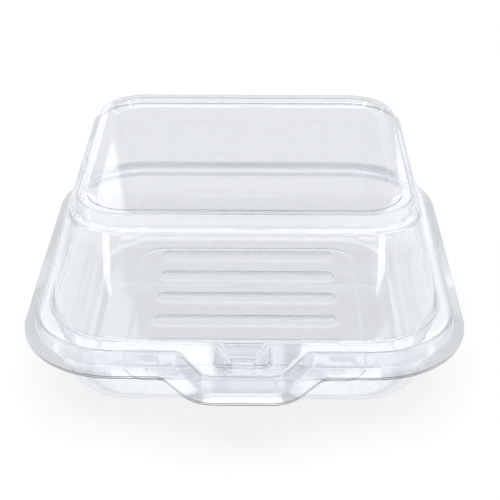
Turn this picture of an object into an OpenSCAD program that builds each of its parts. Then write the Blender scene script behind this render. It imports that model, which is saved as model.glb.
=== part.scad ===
// Square hinged clamshell pack, thermoformed from one clear sheet.
// A tray with a ribbed floor, a two-tier lid that snaps over the tray's flange,
// and the thin strip of sheet at the back that folds as their hinge.
// Millimetres, +Z up, front edge and latch towards -Y, standing on z = 0.
// Origin: under the middle of the closed pack's box.

/* [Sheet] */
// Thickness of the formed sheet
sheet_t = 0.35; // [0.3:0.05:0.5]
// Gap between the lid and the tray where they nest
nest_gap = 0.3; // [0.25:0.05:0.45]

/* [Footprint] */
// Width of both bowls where they meet the flange
foot_w = 131.6; // [124:0.2:140]
// Depth of both bowls where they meet the flange
foot_d = 126.6; // [120:0.2:134]
// Corner radius of the bowls at the flange
foot_r = 26; // [23:0.5:28]

/* [Flange] */
// Height of the flange's flat top above the floor
flange_z = 31; // [29:0.5:34]
// Width of the flat top at the sides and back
ring_side = 4.8; // [4:0.1:6]
// Width of the flat top at the front
ring_front = 6.2; // [5.6:0.1:8]
// Corner radius of the flat top's outer edge
ring_r = 29; // [27:0.5:32]
// Height of the skirt under the flat top
skirt_h = 5.7; // [4.8:0.1:7]
// How far the skirt leans out towards its foot
skirt_lean = 0.3; // [0.2:0.05:0.6]
// Width of the outer lip at the sides
lip_side = 4.1; // [3:0.1:6]
// Width of the outer lip at the front
lip_front = 4.0; // [3:0.1:6]
// Width of the outer lip at the back, up to the fold
lip_back = 7.4; // [6:0.1:10]
// How far the lip falls towards its edge
lip_fall = 1.0; // [0.5:0.1:1.5]
// Corner radius of the lip's edge
lip_r = 33; // [31:0.5:36]

/* [Latch tab] */
// How far the flat top reaches out at the tab
tab_reach = 13.5; // [12:0.5:16]
// Half width of the tab at its tip
tab_tip = 12; // [10:0.2:13]
// Half width of the tab at its root
tab_root = 21; // [19:0.5:23]
// Extra half width of the lip at the tab's root
tab_lip_root = 5; // [4:0.2:6]
// Extra half width of the lip at the tab's tip
tab_lip_tip = 3; // [1.6:0.2:3.6]
// How far each corner of the tab is rounded
tab_round = 2.2; // [1.5:0.1:3]
// How far each corner of the lip is rounded at the tab's tip
tab_lip_round = 5.6; // [4:0.2:6]
// How far each corner of the lip is rounded at the tab's root
tab_lip_root_round = 2.6; // [2:0.2:4]

/* [Snap pocket] */
// Width of the pocket's mouth
pocket_w = 17.4; // [15:0.2:19]
// Length of the pocket's mouth, front to back
pocket_l = 11.6; // [11:0.2:13]
// Width of the pocket's floor
pocket_floor_w = 11.2; // [10:0.2:13]
// Length of the pocket's floor
pocket_floor_l = 9; // [8:0.2:10]
// Depth of the pocket
pocket_depth = 4; // [3:0.1:4.4]
// Corner radius of the pocket
pocket_r = 2.2; // [1.6:0.1:3]
// Distance from the bowl's wall to the pocket's mouth
pocket_back = 1.6; // [1.4:0.1:2]
// Ridges pressed across the pocket's floor
pocket_ridges = 3; // [2:1:3]
// Radius of each pocket ridge
pocket_ridge_r = 0.9; // [0.7:0.1:1.1]

/* [Lid] */
// Height of the lid's shoulder above the floor
shoulder_z = 65.2; // [60:0.2:72]
// Width of the lid at its shoulder
shoulder_w = 116.6; // [112:0.2:120]
// Depth of the lid at its shoulder
shoulder_d = 105.2; // [102:0.2:110]
// Corner radius of the shoulder
shoulder_r = 17; // [15:0.5:20]
// How far the shoulder's ledge rises towards the crown
ledge_rise = 0.3; // [0.2:0.1:0.6]
// Height of the crown above the ledge
crown_h = 4; // [3:0.1:6]
// Width of the crown at its rim
crown_w = 110.4; // [106:0.2:111]
// Depth of the crown at its rim
crown_d = 97.6; // [94:0.2:99]
// Corner radius of the crown's rim
crown_r = 16.5; // [15:0.5:18]
// How far the crown's riser leans out towards its foot
crown_lean = 0.5; // [0.3:0.1:0.8]
// Width of the crown's flat rim
rim_w = 3.4; // [3:0.1:4]
// How far the top panel lies under the rim
panel_drop = 2; // [1:0.1:2.5]
// Width of the slope from the rim to the top panel
panel_slope = 2.8; // [2.4:0.1:4]

/* [Tray] */
// Half the difference between the bowl's width and the wall's foot
wall_in_side = 3.2; // [2.4:0.2:5]
// Half the difference between the bowl's depth and the wall's foot
wall_in_end = 3.7; // [2.4:0.2:5]
// Corner radius at the wall's foot
wall_r = 22.5; // [20:0.5:25]
// Radius between the wall and the floor
floor_round = 8.5; // [6:0.5:11]
// Width of the floor's lower field, which the pack stands on
field_w = 86; // [82:1:94]
// Depth of the floor's lower field
field_d = 90; // [86:1:94]
// Corner radius of the floor's lower field
field_r = 9; // [7:0.5:12]
// How far the field and its ribs lie behind the bowl's middle
field_back = 1.8; // [0:0.2:2.6]
// How far the field lies below the rest of the floor
field_drop = 0.6; // [0.4:0.1:1]

/* [Floor ribs] */
// Number of ribs
rib_count = 6; // [4:1:6]
// Distance from rib to rib
rib_pitch = 16; // [14:0.5:16]
// Length of a rib
rib_l = 70.6; // [60:1:76]
// Width of a rib at its foot
rib_w = 6; // [5.6:0.2:8]
// Width of a rib's flat top
rib_top_w = 3; // [2.4:0.2:4.6]
// Height of a rib
rib_h = 1.9; // [1:0.1:2.1]

/* [Hinge] */
// Length of the fold
hinge_l = 80; // [60:1:82]

/* [Edges] */
// Rounding of the flange's edges
edge_r = 0.8; // [0.7:0.05:1]
// Rounding where the bowls leave the flange
foot_edge_r = 1.2; // [0.9:0.1:1.4]
// Rounding of the lid's shoulder
shoulder_edge_r = 1.5; // [1:0.1:1.8]
// Rounding at the foot of the crown
riser_edge_r = 0.5; // [0.3:0.1:0.6]
// Rounding of the crown's rim
rim_edge_r = 0.7; // [0.6:0.1:1.2]

/* [Smoothness] */
// Steps in each rounded corner
corner_steps = 8; // [6:1:9]

/* [Hidden] */
clear_sheet = [0.80, 0.84, 0.89, 0.45];
// Steps over a rounded edge, round a bend of the tab's outline and up the tray's foot
edge_steps = 2;
bend_steps = 3;
floor_steps = 4;
// Thickness of the plates that give a blended form its ends
slab_t = 0.05;

// Sizes of the flange's outer edges, each as half width, front reach and back reach
ring_half = [foot_w / 2 + ring_side, foot_d / 2 + ring_front, foot_d / 2 + ring_side];
skirt_half = [for (v = ring_half) v + skirt_lean];
lip_half = [skirt_half[0] + lip_side, skirt_half[1] + lip_front, skirt_half[2] + lip_back];

skirt_z = flange_z - skirt_h;
lip_z = skirt_z - lip_fall;
nest = sheet_t + nest_gap;
crown_z = shoulder_z + ledge_rise + crown_h;
pocket_y = -(foot_d / 2 + pocket_back + pocket_l / 2);

// Steps from the crown's rim down to its panel, each as [inset, depth]
rim_soft = rim_w / 5;
panel_steps = [[rim_w - rim_soft, 0], [rim_w, panel_drop / 8],
               [rim_w + panel_slope - rim_soft, panel_drop * 7 / 8], [rim_w + panel_slope, panel_drop]];

// The tray's wall meets its rounded foot in one smooth line
wall_foot_w = foot_w - 2 * (wall_in_side + sheet_t);
wall_foot_d = foot_d - 2 * (wall_in_end + sheet_t);
wall_angle = 90 - atan2(wall_in_side, flange_z - floor_round);
floor_z = sheet_t + field_drop;

// Reach of the tab's three edges from the middle of the bowls
tab_ring_y = ring_half[1] + tab_reach;
tab_skirt_y = tab_ring_y + skirt_lean;
tab_lip_y = tab_skirt_y + lip_front;

// The fold's axis lies between the two lips, at their back edges
fold_y = lip_half[2];
fold_z = lip_z - sheet_t - nest_gap / 2;
fold_r = nest_gap / 2 + sheet_t;
shift_y = (tab_lip_y - fold_y - fold_r) / 2;

// A level is [half width, front reach, back reach, corner radius, height, tab],
// and its tab is [half width at the tip, half width at the root, reach, rounding at the tip
// and rounding at the root].
function bowl_level(w, d, r, z, inset = 0) =
    [w / 2 - inset, d / 2 - inset, d / 2 - inset, r - inset, z, flat_tab(d / 2 - inset)];

function field_level(z, out) =
    let (front = field_d / 2 - field_back + out)
    [field_w / 2 + out, front, field_d / 2 + field_back + out, field_r + out, z, flat_tab(front)];

function flange_level(half, r, z, tab, inset = 0) =
    [half[0] - inset, half[1] - inset, half[2] - inset, r - inset, z,
     [tab[0] - inset / 2, tab[1] - inset / 2, tab[2] - inset, tab[3], tab[4]]];

// Away from the flange the tab's points lie along the straight front edge
function flat_tab(reach) = [tab_tip, tab_root, reach, tab_round, tab_round];

lip_tab = [tab_tip + tab_lip_tip, tab_root + tab_lip_root, tab_lip_y, tab_lip_round, tab_lip_root_round];
skirt_tab = [tab_tip + skirt_lean / 2, tab_root + skirt_lean / 2, tab_skirt_y, tab_round, tab_round];
ring_tab = [tab_tip, tab_root, tab_ring_y, tab_round, tab_round];

// Quarter turns of a section, each point as [inset, height] from the sharp corner:
// over an outer edge, and into an inner one
function over_edge(r) =
    [for (i = [0:edge_steps]) let (a = 90 * i / edge_steps) [r * (1 - cos(a)), r * (1 - sin(a))]];
function into_edge(r) =
    [for (i = [0:edge_steps]) let (a = 90 * i / edge_steps) [r * (sin(a) - 1), r * (1 - cos(a))]];

function corner(cx, cy, r, start) =
    [for (i = [0:corner_steps])
        let (a = start + 90 * i / corner_steps)
        [cx + r * cos(a), cy + r * sin(a)]];

// Rounds the vertex v with a quadratic curve that leaves the edges to p and q at distance d
function bent(p, v, q, d) =
    let (a = v + d * (p - v) / norm(p - v), b = v + d * (q - v) / norm(q - v))
    [for (i = [0:bend_steps])
        let (t = i / bend_steps)
        (1 - t) * (1 - t) * a + 2 * t * (1 - t) * v + t * t * b];

// Outline of a level: a rounded rectangle, with the tab on its front edge
function outline(level) =
    let (hx = level[0], yf = level[1], yb = level[2], r = level[3], tab = level[5],
         left = [r - hx, -yf], left_root = [-tab[1], -yf], left_tip = [-tab[0], -tab[2]],
         right_tip = [tab[0], -tab[2]], right_root = [tab[1], -yf], right = [hx - r, -yf])
    concat(
        bent(left, left_root, left_tip, tab[4]),
        bent(left_root, left_tip, right_tip, tab[3]),
        bent(left_tip, right_tip, right_root, tab[3]),
        bent(right_tip, right_root, right, tab[4]),
        corner(hx - r, r - yf, r, -90),
        corner(hx - r, yb - r, r, 0),
        corner(r - hx, yb - r, r, 90),
        corner(r - hx, r - yf, r, 180));

function ring_points(level) = [for (p = outline(level)) [p[0], p[1], level[4]]];

// Unit normal to the left of the way from one level to the next, in the section's plane
function left_normal(a, b) =
    let (d = [b[0] - a[0], b[4] - a[4]]) [-d[1], d[0]] / norm(d);

// Way in which level i moves when its skin is offset to the left
function miter(levels, i) =
    i == 0 || i == len(levels) - 1 ? [0, -1] :
    let (m = left_normal(levels[i - 1], levels[i]), n = left_normal(levels[i], levels[i + 1]))
    (m + n) / (1 + m * n);

// The skin that lies at distance t to the left of another
function offset_levels(levels, t) =
    [for (i = [0:len(levels) - 1])
        let (v = levels[i], m = t * miter(levels, i), tab = v[5])
        [v[0] + m[0], v[1] + m[0], v[2] + m[0], v[3] + m[0], v[4] + m[1],
         [tab[0] + m[0] / 2, tab[1] + m[0] / 2, tab[2] + m[0], tab[3], tab[4]]]];

// Upper skin of a flange from the edge of its lip to its flat top, shrunk and lowered to nest
function flange_skin(nest) = concat(
    [flange_level(lip_half, lip_r, lip_z - nest, lip_tab)],
    [for (q = into_edge(edge_r))
        flange_level(skirt_half, ring_r + skirt_lean, skirt_z - nest + q[1], skirt_tab, nest + q[0])],
    [for (q = over_edge(edge_r))
        flange_level(ring_half, ring_r, flange_z - nest - q[1], ring_tab, nest + q[0])]);

// Upper skin of the lid: flange, wall, shoulder, crown and sunk top panel
lid_skin = concat(
    flange_skin(0),
    [for (q = into_edge(foot_edge_r)) bowl_level(foot_w, foot_d, foot_r, flange_z + q[1], q[0])],
    [for (q = over_edge(shoulder_edge_r))
        bowl_level(shoulder_w, shoulder_d, shoulder_r, shoulder_z - q[1], q[0])],
    [for (q = into_edge(riser_edge_r))
        bowl_level(crown_w + 2 * crown_lean, crown_d + 2 * crown_lean, crown_r + crown_lean,
                   shoulder_z + ledge_rise + q[1], q[0])],
    [for (q = over_edge(rim_edge_r)) bowl_level(crown_w, crown_d, crown_r, crown_z - q[1], q[0])],
    [for (q = panel_steps) bowl_level(crown_w, crown_d, crown_r, crown_z - q[1], q[0])]);

// Upper skin of the tray: flange, wall, rounded foot and floor with its lower field
tray_skin = concat(
    flange_skin(nest),
    [for (q = into_edge(foot_edge_r)) bowl_level(foot_w, foot_d, foot_r, flange_z - nest - q[1], nest + q[0])],
    [for (i = [floor_steps:-1:0])
        let (a = wall_angle * i / floor_steps,
             out = floor_round * (sin(wall_angle) - sin(a)), up = floor_round * (1 - cos(a)))
        bowl_level(wall_foot_w, wall_foot_d, wall_r, floor_z + up, out)],
    [field_level(floor_z, field_drop), field_level(floor_z - field_drop, 0)]);

// A closed skin lofted through rings of equal length, with flat ends
module loft(rings) {
    n = len(rings[0]);
    m = len(rings);
    sides = [for (i = [0:m - 2], j = [0:n - 1])
        let (k = (j + 1) % n)
        each [[i * n + j, (i + 1) * n + j, (i + 1) * n + k], [i * n + j, (i + 1) * n + k, i * n + k]]];
    first = [for (j = [0:n - 1]) j];
    last = [for (j = [n - 1:-1:0]) (m - 1) * n + j];
    polyhedron(points = [for (r = rings) each r], faces = concat([first, last], sides), convexity = 8);
}

// A sheet of even thickness under the skin that these levels give
module formed_sheet(levels) {
    under = offset_levels(levels, sheet_t);
    loft(concat([for (i = [len(under) - 1:-1:0]) ring_points(under[i])],
                [for (v = levels) ring_points(v)]));
}

// Solid form of the snap pocket below the given height, grown all round for the sheets that nest in it
module pocket_form(grow, top_z) {
    mouth = [pocket_w, pocket_l];
    floor_size = [pocket_floor_w, pocket_floor_l];
    mouth_z = flange_z - grow;
    for (pair = [[mouth, top_z, mouth, mouth_z], [mouth, mouth_z, floor_size, mouth_z - pocket_depth]])
        hull() {
            pocket_slab(pair[0], pair[1], grow);
            pocket_slab(pair[2], pair[3], grow);
        }
}

// A thin rounded plate of the pocket's plan, with its upper face at height z
module pocket_slab(size, z, grow) {
    for (sx = [-1, 1], sy = [-1, 1])
        translate([sx * (size[0] / 2 - pocket_r), pocket_y + sy * (size[1] / 2 - pocket_r), z - slab_t])
            cylinder(r = pocket_r + grow, h = slab_t, $fn = 20);
}

// Rounded ridges across the pocket's floor, each smaller on the sheet's underside
module pocket_ridge_row(shrink) {
    pitch = (pocket_floor_l - 2 * pocket_ridge_r) / (pocket_ridges - 1);
    for (i = [0:pocket_ridges - 1])
        hull()
            for (sx = [-1, 1])
                translate([sx * (pocket_floor_w / 2 - pocket_r),
                           pocket_y + (i - (pocket_ridges - 1) / 2) * pitch,
                           flange_z - pocket_depth - shrink])
                    sphere(r = pocket_ridge_r - shrink / 2, $fn = 12);
}

// Round-ended bars of the floor ribs, from the given height to their flat tops
module rib_row(z, shrink) {
    for (i = [0:rib_count - 1])
        hull()
            for (s = [[rib_w, z - slab_t], [rib_top_w, z + rib_h]], sx = [-1, 1])
                translate([sx * (rib_l - rib_w) / 2,
                           field_back + (i - (rib_count - 1) / 2) * rib_pitch, s[1] - slab_t])
                    cylinder(r = s[0] / 2 - shrink, h = slab_t, $fn = 20);
}

module tray() {
    color(clear_sheet)
        translate([0, shift_y, 0])
            difference() {
                union() {
                    formed_sheet(tray_skin);
                    pocket_form(nest + sheet_t, flange_z - nest - sheet_t / 2);
                    rib_row(sheet_t, 0);
                }
                pocket_form(nest, flange_z + sheet_t);
                rib_row(0, sheet_t / 2);
            }
}

module lid() {
    color(clear_sheet)
        translate([0, shift_y, 0]) {
            difference() {
                union() {
                    formed_sheet(lid_skin);
                    pocket_form(sheet_t, flange_z - sheet_t / 2);
                }
                difference() {
                    pocket_form(0, flange_z + sheet_t);
                    pocket_ridge_row(0);
                }
                pocket_ridge_row(sheet_t);
            }
        }
}

// Half of a tube round the fold's axis, whose ends meet the back edges of both lips
module living_hinge() {
    color(clear_sheet)
        translate([0, shift_y + fold_y, fold_z])
            rotate([0, 90, 0])
                difference() {
                    cylinder(r = fold_r, h = hinge_l, center = true, $fn = 48);
                    cylinder(r = nest_gap / 2, h = 2 * hinge_l, center = true, $fn = 24);
                    translate([0, -fold_r, 0])
                        cube([4 * fold_r, 2 * fold_r, 2 * hinge_l], center = true);
                }
}

tray();
lid();
living_hinge();
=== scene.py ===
import math

import bmesh
import bpy
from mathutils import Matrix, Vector


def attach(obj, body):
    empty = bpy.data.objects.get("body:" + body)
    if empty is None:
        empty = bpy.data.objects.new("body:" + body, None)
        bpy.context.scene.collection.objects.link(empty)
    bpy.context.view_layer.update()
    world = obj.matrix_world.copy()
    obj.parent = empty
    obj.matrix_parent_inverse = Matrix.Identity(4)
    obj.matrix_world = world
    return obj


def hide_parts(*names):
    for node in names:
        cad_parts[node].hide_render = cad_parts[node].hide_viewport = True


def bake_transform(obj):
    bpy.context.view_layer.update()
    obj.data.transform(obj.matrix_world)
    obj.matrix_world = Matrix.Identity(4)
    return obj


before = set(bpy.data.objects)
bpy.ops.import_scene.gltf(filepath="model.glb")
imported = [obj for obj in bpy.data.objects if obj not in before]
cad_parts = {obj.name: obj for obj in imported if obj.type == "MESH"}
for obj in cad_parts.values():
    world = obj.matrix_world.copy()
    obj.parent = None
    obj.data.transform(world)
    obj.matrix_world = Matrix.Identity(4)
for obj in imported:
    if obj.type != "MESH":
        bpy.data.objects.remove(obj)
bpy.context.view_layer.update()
print("frame loaded")

mm = 0.001
bowlY = 5.5              # the bowls' middle lies this far behind the pack's own middle
sheetThickness = 0.35
mergeDistance = 0.002
smoothAngle = math.radians(32)
ringCount = 0            # each outline drawn gets the next number, kept on its points


# Drawing outlines and joining them into skins. Sizes are given in mm.

def startPiece(name):
    bpy.ops.object.select_all(action="DESELECT")
    bpy.ops.object.add(type="MESH", enter_editmode=True, location=(0, 0, 0))
    piece = bpy.context.object
    piece.name = name
    piece.data.name = name
    bpy.context.tool_settings.mesh_select_mode = (True, False, False)
    return piece


def editMesh():
    data = bpy.context.object.data
    mesh = bmesh.from_edit_mesh(data)
    return data, mesh, mesh.verts.layers.int.get("ring") or mesh.verts.layers.int.new("ring")


def pickVerts(test):
    bpy.ops.mesh.select_all(action="DESELECT")
    data, mesh, tags = editMesh()
    for v in mesh.verts:
        v.select = test(v.co, v[tags])
    mesh.select_flush(True)
    bmesh.update_edit_mesh(data)


def pickRings(*rings):
    bpy.ops.mesh.select_all(action="DESELECT")
    data, mesh, tags = editMesh()
    for e in mesh.edges:
        a, b = e.verts
        if a[tags] == b[tags] and a[tags] in rings and len(e.link_faces) < 2:
            e.select = True
    bmesh.update_edit_mesh(data)


def roundCorners(radius, steps):
    bpy.ops.mesh.bevel(offset=radius * mm, segments=steps, profile=0.5, affect="VERTICES", clamp_overlap=False)


def shapeTab(halfX, front, tab, midY, bendSteps):
    # the front edge's four new points, at 0.2 and 0.6 of its half width, become the latch tab with rounded corners
    tip, root, reach, tipBend, rootBend = tab

    def pickFront(low, high):
        pickVerts(lambda co, tag: tag == 0 and co.y < midY and low * mm < abs(co.x) < high * mm)
    centre = (0, midY, 0)
    pickFront(0.1 * halfX, 0.4 * halfX)
    bpy.ops.transform.resize(value=(tip / (0.2 * halfX), 1, 1), center_override=centre)
    bpy.ops.transform.translate(value=(0, -(reach - front) * mm, 0))
    pickFront(0.5 * halfX, 0.8 * halfX)
    bpy.ops.transform.resize(value=(root / (0.6 * halfX), 1, 1), center_override=centre)
    for bend, low, high in ((tipBend, 0, tip + 0.1), (rootBend, root - 0.1, root + 0.1)):
        pickFront(low, high)
        roundCorners(bend, bendSteps)


def drawOutline(level, at, cornerSteps, bendSteps=6):
    # a plane with its corners rounded, and with a tab on its front edge where the level has one
    global ringCount
    halfX, front, back, radius, z = level[:5]
    midY = (at[1] + (back - front) / 2) * mm
    middle = (at[0] * mm, midY, z * mm)
    bpy.ops.mesh.select_all(action="DESELECT")
    bpy.ops.mesh.primitive_plane_add(size=2 * mm, location=middle)
    bpy.ops.transform.resize(value=(halfX, (front + back) / 2, 1), center_override=middle)
    if len(level) > 5:
        pickVerts(lambda co, tag: tag == 0 and co.y < midY)
        bpy.ops.mesh.subdivide(number_cuts=4)
        shapeTab(halfX, front, level[5:], midY, bendSteps)
    nearSide = 0.999 * halfX * mm
    pickVerts(lambda co, tag: tag == 0 and abs(co.x - middle[0]) > nearSide)
    roundCorners(radius, cornerSteps)
    pickVerts(lambda co, tag: tag == 0)
    bpy.ops.mesh.delete(type="ONLY_FACE")
    ringCount += 1
    data, mesh, tags = editMesh()
    for v in mesh.verts:
        if v[tags] == 0:
            v[tags] = ringCount
    bmesh.update_edit_mesh(data)
    return ringCount


def softened(levels, steps):
    # rounds the section at each level by its radius, the level's last number
    out = []
    for i, (level, radius) in enumerate(levels):
        if not radius:
            out.append(level)
            continue
        before, after = levels[i - 1][0], levels[i + 1][0]
        back = Vector((before[0] - level[0], before[4] - level[4]))
        on = Vector((after[0] - level[0], after[4] - level[4]))
        turn = (-back).angle(on)
        reach = radius * math.tan(turn / 2)
        pull = math.cos(turn / 2)
        for k in range(steps + 1):
            s = k / steps
            weights = ((1 - s) ** 2, 2 * pull * s * (1 - s), s * s)
            point = []
            for v, p, q in zip(level, before, after):
                a = v + (p - v) * reach / back.length
                b = v + (q - v) * reach / on.length
                point.append((weights[0] * a + weights[1] * v + weights[2] * b) / sum(weights))
            out.append(point)
    return out


def loft(levels, at, cornerSteps, edgeSteps=4):
    # each outline is drawn lifted, so that the bridge also turns the right way between two in one plane
    rings = []
    lift = 10
    for level in softened(levels, edgeSteps):
        if not rings:
            rings.append(drawOutline(level, at, cornerSteps))
            continue
        rings.append(drawOutline([*level[:4], level[4] + lift, *level[5:]], at, cornerSteps))
        pickRings(rings[-2], rings[-1])
        bpy.ops.mesh.bridge_edge_loops()
        pickVerts(lambda co, tag: tag == rings[-1])
        bpy.ops.transform.translate(value=(0, 0, -lift * mm))
    return rings[0], rings[-1]


def fillBetween(*rings):
    pickRings(*rings)
    bpy.ops.mesh.fill(use_beauty=True)


def close(ring):
    pickRings(ring)
    bpy.ops.mesh.edge_face_add()


def thicken(piece, offset, even):
    solid = piece.modifiers.new("thickness", "SOLIDIFY")
    solid.thickness = sheetThickness * mm
    solid.offset = offset
    solid.use_even_offset = even
    bpy.ops.object.modifier_apply(modifier=solid.name)
    bpy.ops.object.shade_smooth_by_angle(angle=smoothAngle)


def finishSheet(piece):
    # the skin drawn so far is the sheet's upper side: it gets its thickness downwards
    bpy.ops.mesh.select_all(action="SELECT")
    bpy.ops.mesh.remove_doubles(threshold=mergeDistance * mm)
    bpy.ops.mesh.normals_make_consistent(inside=False)
    data, mesh, tags = editMesh()
    if sum(f.normal.z * f.calc_area() for f in mesh.faces) < 0:
        bpy.ops.mesh.flip_normals()
    bpy.ops.object.mode_set(mode="OBJECT")
    piece.data.attributes.remove(piece.data.attributes["ring"])
    thicken(piece, -1, True)
    even = piece.modifiers.new("even shading", "WEIGHTED_NORMAL")
    even.keep_sharp = True
    bpy.ops.object.modifier_apply(modifier=even.name)
    print(piece.name, len(piece.data.polygons), "faces")


def shrunk(level, inset, lower):
    # the same outline nested inside and under another sheet
    halfX, front, back, radius, z = level[:5]
    tab = level[5:]
    if tab:
        tab = [tab[0] - inset / 2, tab[1] - inset / 2, tab[2] - inset, *tab[3:]]
    return [halfX - inset, front - inset, back - inset, radius - inset, z - lower, *tab]


# Flange, the same for both sheets. A level is half width, front reach, back reach, corner radius and height.
# On the flange the latch tab follows: half width at tip and root, reach, rounding at tip and root.
flange = {
    "lip": [75.0, 73.8, 75.8, 33, 24.3, 15.0, 26.0, 87.3, 5.6, 2.6],
    "skirtFoot": [70.9, 69.8, 68.4, 29.3, 25.3, 12.15, 21.15, 83.3, 2.2, 2.2],
    "top": [70.6, 69.5, 68.1, 29, 31, 12.0, 21.0, 83.0, 2.2, 2.2],
    "edgeRound": 0.8,
    "inner": 1.6,
    "cornerSteps": 22,
}

pocket = {
    "y": -70.7,
    "mouth": [8.7, 5.8, 5.8, 2.2, 31],
    "floor": [5.6, 4.5, 4.5, 1.8, 27],
    "margin": 0.45,
    "edgeRound": 0.7,
    "floorRound": 0.5,
    "floorRim": 0.5,
    "ridges": (-2.3, 0, 2.3),
    "ridge": [4.1, 0.75, 0.45],          # half length, half width and height
    "ridgeSlope": 0.2,
    "ridgeRound": 0.15,
    "cornerSteps": 6,
}


def drawFlange(nest):
    lip = shrunk(flange["lip"], 0, nest)
    foot = shrunk(flange["skirtFoot"], nest, nest)
    top = shrunk(flange["top"], nest, nest)
    inner = shrunk(top, flange["inner"], 0)
    levels = [(lip, 0), (foot, flange["edgeRound"]), (top, flange["edgeRound"]), (inner, 0)]
    return loft(levels, (0, bowlY), flange["cornerSteps"])


lugs = {
    "from": 26.9,
    "to": 36.3,
    "slope": 0.9,
    "depth": 0.35,
    "straight": (22, 42),                # the skirt's straight part beside the latch tab lies between these
    "heights": (25.8, 30.35),
}


def pressLugs(nest):
    # a shallow patch pressed into the skirt on each side of the latch
    frontY = bowlY - flange["skirtFoot"][1] + nest + 0.5
    low, high = (height - nest for height in lugs["heights"])

    def pickSkirt(side, start, end):
        pickVerts(lambda co, tag: start * mm < side * co.x < end * mm and co.y < frontY * mm
                  and low * mm < co.z < high * mm)
    for side in (1, -1):
        for cut in (lugs["from"], lugs["to"]):
            pickSkirt(side, *lugs["straight"])
            bpy.ops.mesh.bisect(plane_co=(side * cut * mm, 0, 0), plane_no=(1, 0, 0))
        pickSkirt(side, lugs["from"] - 0.05, lugs["to"] + 0.05)
        bpy.ops.mesh.inset(thickness=lugs["slope"] * mm, depth=0)
        bpy.ops.transform.translate(value=(0, lugs["depth"] * mm, 0))


barEnds = 0.97           # a bar's corner radius, as a part of its half width


def drawBar(at, bar, z, slope, soft, cornerSteps=6):
    # a round-ended bar raised from the flat, hollow underneath once the sheet has its thickness
    halfLength, halfWidth, height = bar

    def step(out, up):
        width = halfWidth + out
        return [halfLength + out, width, width, barEnds * width, z + up]
    levels = [(step(soft, 0), 0), (step(0, 0), soft), (step(-slope, height), soft), (step(-slope - soft, height), 0)]
    first, last = loft(levels, at, cornerSteps, edgeSteps=3)
    close(last)
    return first


def drawPocket(nest, ridges):
    at = (0, bowlY + pocket["y"])
    mouth = shrunk(pocket["mouth"], -nest, nest)
    start = shrunk(mouth, -pocket["margin"], 0)
    floor = shrunk(pocket["floor"], -nest, nest)
    inner = shrunk(floor, pocket["floorRim"], 0)
    levels = [(start, 0), (mouth, pocket["edgeRound"]), (floor, pocket["floorRound"]), (inner, 0)]
    first, last = loft(levels, at, pocket["cornerSteps"])
    if ridges:
        bars = [drawBar((0, at[1] + y), pocket["ridge"], floor[4], pocket["ridgeSlope"], pocket["ridgeRound"])
                for y in pocket["ridges"]]
        fillBetween(last, *bars)
    else:
        close(last)
    return first


# Lid
lid = {
    "foot": [65.8, 63.3, 63.3, 26, 31],
    "shoulder": [58.3, 52.6, 52.6, 17, 65.2],
    "riserFoot": [55.7, 49.3, 49.3, 17, 65.5],
    "rim": [55.2, 48.8, 48.8, 16.5, 69.5],
    "rimWidth": 3.4,
    "panelSlope": 2.8,
    "panelDrop": 2.0,
    "footRound": 1.2,
    "shoulderRound": 1.5,
    "riserRound": 0.5,
    "rimRound": 0.7,
    "panelRound": 0.6,
    "footMargin": 1.0,
    "panelMargin": 1.5,
    "cornerSteps": 20,
}


def makeLid():
    piece = startPiece("formedLid")
    lip, flangeTop = drawFlange(0)
    outer = shrunk(lid["foot"], -lid["footMargin"], 0)
    rimInner = shrunk(lid["rim"], lid["rimWidth"], 0)
    panel = shrunk(rimInner, lid["panelSlope"], lid["panelDrop"])
    panelInner = shrunk(panel, lid["panelMargin"], 0)
    levels = [(outer, 0), (lid["foot"], lid["footRound"]), (lid["shoulder"], lid["shoulderRound"]),
              (lid["riserFoot"], lid["riserRound"]), (lid["rim"], lid["rimRound"]),
              (rimInner, lid["panelRound"]), (panel, lid["panelRound"]), (panelInner, 0)]
    wallFoot, top = loft(levels, (0, bowlY), lid["cornerSteps"])
    close(top)
    mouth = drawPocket(0, ridges=True)
    fillBetween(flangeTop, wallFoot, mouth)
    pressLugs(0)
    finishSheet(piece)
    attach(piece, "cover")
    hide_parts("lid")
    return piece


# Tray
tray = {
    "nest": 0.65,
    "foot": [65.8, 63.3, 63.3, 26, 31],
    "corner": [61.25, 58.25, 58.25, 21.5, 0.95],      # where the wall and the floor would meet, were they not rounded
    "fieldEdge": [43.6, 43.8, 47.4, 9.6, 0.95],
    "field": [43.0, 43.2, 46.8, 9.0, 0.35],
    "fieldInner": [42.0, 42.2, 45.8, 8.0, 0.35],
    "footRound": 1.1,
    "wallRound": 8.5,
    "fieldRound": 0.8,
    "footMargin": 1.0,
    "ribs": (-38.2, -22.2, -6.2, 9.8, 25.8, 41.8),
    "rib": [35.3, 3.0, 1.9],             # half length, half width and height
    "ribSlope": 1.5,
    "ribRound": 0.6,
    "cornerSteps": 20,
}


def makeTray():
    piece = startPiece("formedTray")
    nest = tray["nest"]
    lip, flangeTop = drawFlange(nest)
    foot = shrunk(tray["foot"], nest, nest)
    outer = shrunk(foot, -tray["footMargin"], 0)
    levels = [(outer, 0), (foot, tray["footRound"]), (tray["corner"], tray["wallRound"]),
              (tray["fieldEdge"], tray["fieldRound"]), (tray["field"], tray["fieldRound"]), (tray["fieldInner"], 0)]
    wallFoot, field = loft(levels, (0, bowlY), tray["cornerSteps"], edgeSteps=6)
    bars = [drawBar((0, bowlY + y), tray["rib"], tray["field"][4], tray["ribSlope"], tray["ribRound"], cornerSteps=8)
            for y in tray["ribs"]]
    fillBetween(field, *bars)
    mouth = drawPocket(nest, ridges=False)
    fillBetween(flangeTop, wallFoot, mouth)
    pressLugs(nest)
    finishSheet(piece)
    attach(piece, "base")
    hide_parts("tray")
    return piece


# Fold between the two lips
fold = {"y": 81.3, "z": 23.8, "radius": 0.325, "length": 80, "points": 48}


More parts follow.
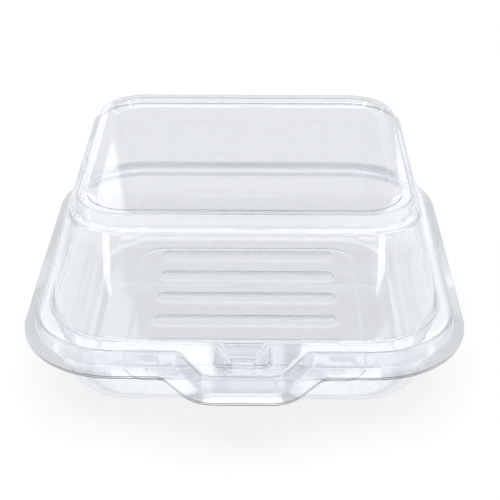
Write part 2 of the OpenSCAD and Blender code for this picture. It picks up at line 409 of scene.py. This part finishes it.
def makeFold():
    piece = startPiece("foldStrip")
    axis = Vector((0, fold["y"], fold["z"])) * mm
    left = axis - Vector((fold["length"] / 2 * mm, 0, 0))
    bpy.ops.mesh.primitive_circle_add(vertices=fold["points"], radius=fold["radius"] * mm, location=left,
                                      rotation=(0, math.radians(90), 0))
    bpy.ops.mesh.bisect(plane_co=left, plane_no=(0, 1, 0), clear_inner=True)
    bpy.ops.mesh.select_all(action="SELECT")
    bpy.ops.mesh.extrude_edges_move(TRANSFORM_OT_translate={"value": (fold["length"] * mm, 0, 0)})
    bpy.ops.mesh.select_all(action="SELECT")
    bpy.ops.mesh.remove_doubles(threshold=mergeDistance * mm)
    bpy.ops.object.mode_set(mode="OBJECT")
    thicken(piece, 0, False)
    print(piece.name, len(piece.data.polygons), "faces")
    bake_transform(piece)
    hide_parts("living_hinge")
    return piece


formedLid = makeLid()
formedTray = makeTray()
foldStrip = makeFold()
print("sheets formed")


# Clear sheet
clearSheet = {
    "colour": (0.995, 0.998, 1, 1),
    "bodyColour": (0.12, 0.29, 0.55, 1),
    "bodyDensity": 112,
    "roughness": 0.03,
    "ior": 1.57,
    "waveScale": 34,
    "waveDetail": 1.5,
    "waveHeight": 0.00025,
    "waveStrength": 0.12,
}


def makeClearSheet():
    material = bpy.data.materials.new("clearSheet")
    material.use_nodes = True
    nodes, links = material.node_tree.nodes, material.node_tree.links
    shader = nodes["Principled BSDF"]
    shader.inputs["Base Color"].default_value = clearSheet["colour"]
    shader.inputs["Roughness"].default_value = clearSheet["roughness"]
    shader.inputs["IOR"].default_value = clearSheet["ior"]
    shader.inputs["Transmission Weight"].default_value = 1
    body = nodes.new("ShaderNodeVolumeAbsorption")
    body.inputs["Color"].default_value = clearSheet["bodyColour"]
    body.inputs["Density"].default_value = clearSheet["bodyDensity"]
    links.new(body.outputs["Volume"], nodes["Material Output"].inputs["Volume"])
    place = nodes.new("ShaderNodeTexCoord")
    waves = nodes.new("ShaderNodeTexNoise")
    waves.inputs["Scale"].default_value = clearSheet["waveScale"]
    waves.inputs["Detail"].default_value = clearSheet["waveDetail"]
    bump = nodes.new("ShaderNodeBump")
    bump.inputs["Strength"].default_value = clearSheet["waveStrength"]
    bump.inputs["Distance"].default_value = clearSheet["waveHeight"]
    links.new(place.outputs["Object"], waves.inputs["Vector"])
    links.new(waves.outputs["Fac"], bump.inputs["Height"])
    links.new(bump.outputs["Normal"], shader.inputs["Normal"])
    return material


sheetFinish = makeClearSheet()
for piece in (formedLid, formedTray, foldStrip):
    piece.data.materials.append(sheetFinish)
print("materials made")


# Studio: white floor and sweep under a dimmer room, softboxes and the camera
studio = {
    "camera": {"azimuth": 0.6, "elevation": 30.4, "distance": 440, "target": (1.5, 7.2, 27.0), "lens": 84.96},
    "floorSize": 6,
    "floorDrop": 0.0002,
    "floorColour": (0.24, 0.24, 0.24, 1),
    "floorRoughness": 0.8,
    "floorGlow": 0.79,
    "farFloor": (0.5, 1.1),        # the floor's glow rises to full white between these distances
    "light": 0.27,                 # what the world adds as light
    "horizon": 0.85,               # what the sheets show of the sweep near the floor
    "room": 0.1,                   # and of the room above it
    "sweepTop": (0.1, 0.42),       # the white sweep fades out between these heights
    "bounces": (32, 32, 12),       # all, in transmission and in gloss: a view ray meets up to ten sheet faces
    "lampDistance": 1200,
    # azimuth from the back, elevation, width and height in degrees
    # a lamp off the middle has a twin on the other side
    "lamps": (
        {"name": "backMiddle", "at": (0, 43.5), "size": (5, 17), "radiance": 1.1},
        {"name": "backSoftbox", "at": (15.5, 43.5), "size": (26, 17), "radiance": 2.1},
        {"name": "backCorner", "at": (19.5, 28.5), "size": (19, 13), "radiance": 1.0},
        {"name": "backPanel", "at": (0, 25.5), "size": (30, 9), "radiance": 0.25},
        {"name": "overhead", "at": (0, 76), "size": (70, 26), "radiance": 2.2},
        {"name": "sideUpper", "at": (90, 57), "size": (44, 26), "radiance": 2.4},
        {"name": "frontUpper", "at": (135, 62), "size": (26, 20), "radiance": 2.2},
        {"name": "frontSoftbox", "at": (180, 63), "size": (60, 20), "radiance": 2.4},
        {"name": "frontSideStrip", "at": (156, 20), "size": (14, 36), "radiance": 2.4},
        {"name": "frontNarrowStrip", "at": (168.5, 24), "size": (4, 26), "radiance": 2.2},
        {"name": "sideStrip", "at": (96, 20), "size": (10, 34), "radiance": 1.7},
        {"name": "floorStrip", "at": (0, 10.5), "size": (40, 8), "radiance": 1.1},
    ),
}


def addMath(nodes, links, operation, first, second):
    # a math node on two sockets or numbers
    node = nodes.new("ShaderNodeMath")
    node.operation = operation
    for socket, value in zip(node.inputs, (first, second)):
        if isinstance(value, (int, float)):
            socket.default_value = value
        else:
            links.new(value, socket)
    return node.outputs[0]


def makeFloor():
    bpy.ops.object.select_all(action="DESELECT")
    bpy.ops.mesh.primitive_plane_add(size=studio["floorSize"], location=(0, 0, -studio["floorDrop"]))
    floor = bpy.context.object
    floor.name = "studioFloor"
    material = bpy.data.materials.new("whiteFloor")
    material.use_nodes = True
    nodes, links = material.node_tree.nodes, material.node_tree.links
    shader = nodes["Principled BSDF"]
    shader.inputs["Base Color"].default_value = studio["floorColour"]
    shader.inputs["Roughness"].default_value = studio["floorRoughness"]
    shader.inputs["Specular IOR Level"].default_value = 0
    shader.inputs["Emission Color"].default_value = (1, 1, 1, 1)
    path = nodes.new("ShaderNodeLightPath")
    seen = addMath(nodes, links, "MAXIMUM", path.outputs["Is Camera Ray"], path.outputs["Is Transmission Ray"])
    seen = addMath(nodes, links, "MAXIMUM", seen, path.outputs["Is Glossy Ray"])
    glow = addMath(nodes, links, "MULTIPLY", seen, studio["floorGlow"])
    place = nodes.new("ShaderNodeTexCoord")
    away = nodes.new("ShaderNodeVectorMath")
    away.operation = "LENGTH"
    links.new(place.outputs["Object"], away.inputs[0])
    far = nodes.new("ShaderNodeMapRange")      # the camera sees the floor white where the lamps don't reach
    far.inputs["From Min"].default_value, far.inputs["From Max"].default_value = studio["farFloor"]
    far.inputs["To Min"].default_value = studio["floorGlow"]
    links.new(away.outputs["Value"], far.inputs["Value"])
    farGlow = addMath(nodes, links, "MULTIPLY", path.outputs["Is Camera Ray"], far.outputs[0])
    links.new(addMath(nodes, links, "MAXIMUM", glow, farGlow), shader.inputs["Emission Strength"])
    floor.data.materials.append(material)


def makeWorld():
    world = bpy.data.worlds.new("studioWorld")
    bpy.context.scene.world = world
    world.use_nodes = True
    nodes, links = world.node_tree.nodes, world.node_tree.links
    background = nodes["Background"]
    background.inputs["Color"].default_value = (1, 1, 1, 1)
    place = nodes.new("ShaderNodeTexCoord")
    axes = nodes.new("ShaderNodeSeparateXYZ")
    links.new(place.outputs["Generated"], axes.inputs[0])
    sweep = nodes.new("ShaderNodeMapRange")
    sweep.inputs["From Min"].default_value, sweep.inputs["From Max"].default_value = studio["sweepTop"]
    sweep.inputs["To Min"].default_value = studio["horizon"]
    sweep.inputs["To Max"].default_value = studio["room"]
    links.new(axes.outputs["Z"], sweep.inputs["Value"])
    path = nodes.new("ShaderNodeLightPath")
    throughSheet = addMath(nodes, links, "MAXIMUM", path.outputs["Is Glossy Ray"],
                           path.outputs["Is Transmission Ray"])
    strength = nodes.new("ShaderNodeMix")
    strength.inputs["A"].default_value = studio["light"]
    links.new(throughSheet, strength.inputs["Factor"])
    links.new(sweep.outputs[0], strength.inputs["B"])
    shown = addMath(nodes, links, "MAXIMUM", path.outputs["Is Camera Ray"], strength.outputs["Result"])
    links.new(shown, background.inputs["Strength"])


def makeLamps():
    middle = Vector((0, 0, 30)) * mm
    distance = studio["lampDistance"] * mm
    for lamp in studio["lamps"]:
        azimuth, elevation = (math.radians(angle) for angle in lamp["at"])
        width, height = (2 * distance * math.tan(math.radians(angle / 2)) for angle in lamp["size"])
        for side in (1, -1) if 0 < lamp["at"][0] < 180 else (1,):
            data = bpy.data.lights.new(lamp["name"], "AREA")
            data.shape = "RECTANGLE"
            data.size, data.size_y = width * math.cos(elevation), height
            data.energy = lamp["radiance"] * math.pi * data.size * data.size_y
            item = bpy.data.objects.new(lamp["name"], data)
            bpy.context.scene.collection.objects.link(item)
            away = Vector((side * math.sin(azimuth) * math.cos(elevation), math.cos(azimuth) * math.cos(elevation),
                           math.sin(elevation)))
            item.location = middle + away * distance
            item.rotation_euler = (-away).to_track_quat("-Z", "Y").to_euler()


def makeCamera():
    view = studio["camera"]
    turn, lift = math.radians(view["azimuth"]), math.radians(view["elevation"])
    back = Vector((math.sin(turn) * math.cos(lift), -math.cos(turn) * math.cos(lift), math.sin(lift)))
    data = bpy.data.cameras.new("photoCamera")
    data.lens = view["lens"]
    data.clip_start = 0.01
    camera = bpy.data.objects.new("photoCamera", data)
    bpy.context.scene.collection.objects.link(camera)
    camera.location = (Vector(view["target"]) + back * view["distance"]) * mm
    camera.rotation_euler = (-back).to_track_quat("-Z", "Y").to_euler()
    bpy.context.scene.camera = camera


makeFloor()
makeWorld()
makeLamps()
makeCamera()
bpy.context.scene.view_settings.view_transform = "Standard"
cycles = bpy.context.scene.cycles
cycles.max_bounces, cycles.transmission_bounces, cycles.glossy_bounces = studio["bounces"]
print("studio set")
